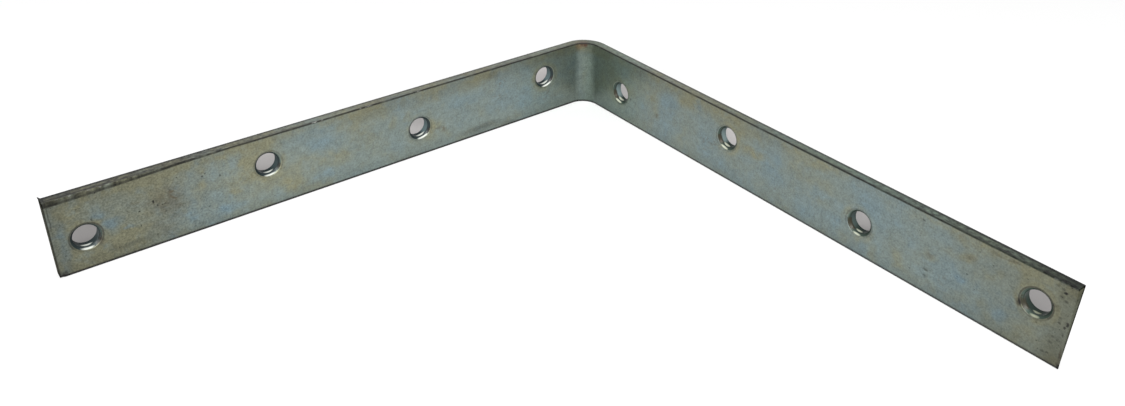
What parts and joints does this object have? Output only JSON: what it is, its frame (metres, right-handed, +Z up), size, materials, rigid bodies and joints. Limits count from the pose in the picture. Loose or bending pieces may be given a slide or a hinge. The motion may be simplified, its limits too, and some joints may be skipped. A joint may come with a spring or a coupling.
{
  "type": "corner brace",
  "caption": "Flat steel bar bent to a right angle: an equal-leg corner brace with staggered, countersunk screw holes along both legs.",
  "frame": {"origin": "centre of the bracket's bounding square, on the plane that its lower long edges stand on", "axes": "one leg runs along +X and the other along +Y from the bend, which is at -X -Y; +Z is up across the bar's width; the inside of the angle faces +X and +Y"},
  "size_m": [0.25, 0.25, 0.032],
  "materials": {
    "zinc_plated_steel": "bright zinc plating with a clear blue to yellow passivate, dulled, lightly stained and nicked along the edges"
  },
  "bodies": {
    "root": {"corner_brace": "zinc_plated_steel"}
  },
  "joints": []
}
